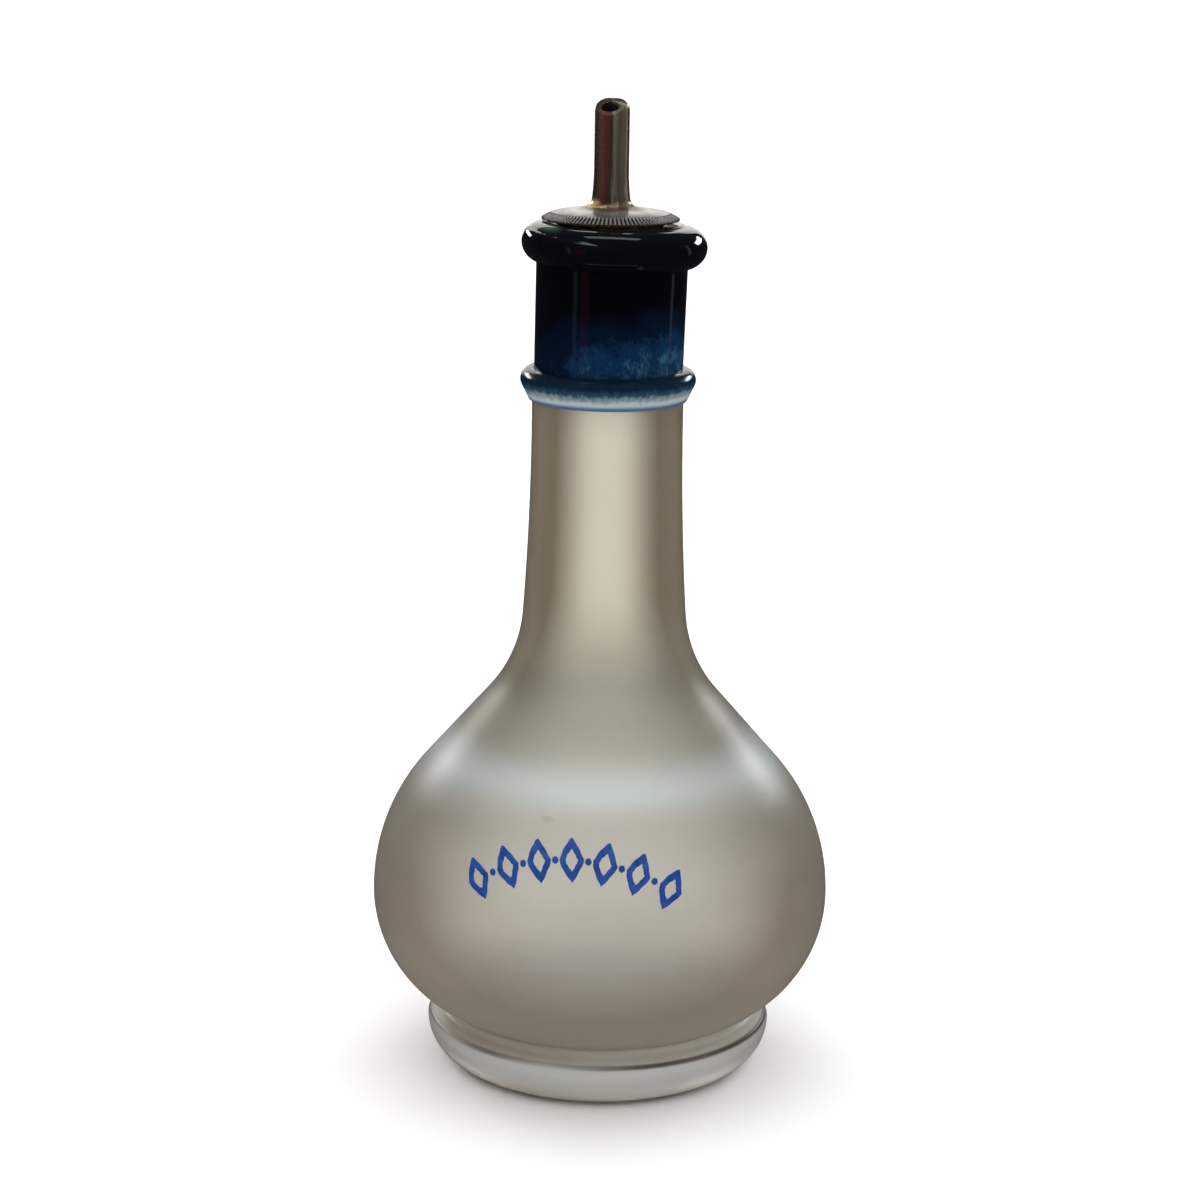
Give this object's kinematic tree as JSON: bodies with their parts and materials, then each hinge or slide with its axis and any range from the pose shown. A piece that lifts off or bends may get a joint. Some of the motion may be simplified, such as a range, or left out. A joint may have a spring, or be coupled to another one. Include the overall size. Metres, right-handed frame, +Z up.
{
  "type": "bitters bottle",
  "caption": "Round-bellied frosted glass bottle with a long neck, blue glass collar and rings, and a corked metal dasher with a milled cap that lifts out and turns.",
  "frame": {"origin": "middle of the foot's underside, on the surface that the bottle stands on", "axes": "+Z up along the neck, -Y towards the viewer, the side that the dash hole faces, +X to the viewer's right"},
  "size_m": [0.0834, 0.0834, 0.1758],
  "materials": {
    "frosted_glass": "acid-frosted, satin, milky",
    "foot_glass": "lightly frosted, smooth round edge",
    "cobalt_glass": "glossy, almost black, mottled brighter blue low down",
    "shaded_glass": "glossy dark blue above, speckled into frosty white below",
    "lip_glass": "fire-polished, glossy, blue-black",
    "cork": "natural cork, dull, with pores",
    "plated_metal": "old nickel plate, dark, worn to brass at edges",
    "bare_brass": "dull bare brass"
  },
  "bodies": {
    "bottle": {"bottle_body": "frosted_glass", "foot_ring": "foot_glass", "collar_casing": "cobalt_glass", "string_ring": "shaded_glass", "lip_ring": "lip_glass"},
    "cork_plug": {"cork": "cork"},
    "dasher": {"milled_cap": "plated_metal", "spout": "plated_metal", "stem_tube": "bare_brass", "end_washer": "bare_brass", "stem_nut": "bare_brass"}
  },
  "joints": [
    {"name": "stopper_pull", "type": "slide", "parent": "bottle", "child": "cork_plug", "axis": [0, 0, 1], "range_m": [0, 0.03]},
    {"name": "dasher_turn", "type": "hinge", "parent": "cork_plug", "child": "dasher", "pos_m": [0, 0, 0.155], "axis": [0, 0, 1], "continuous": true}
  ]
}
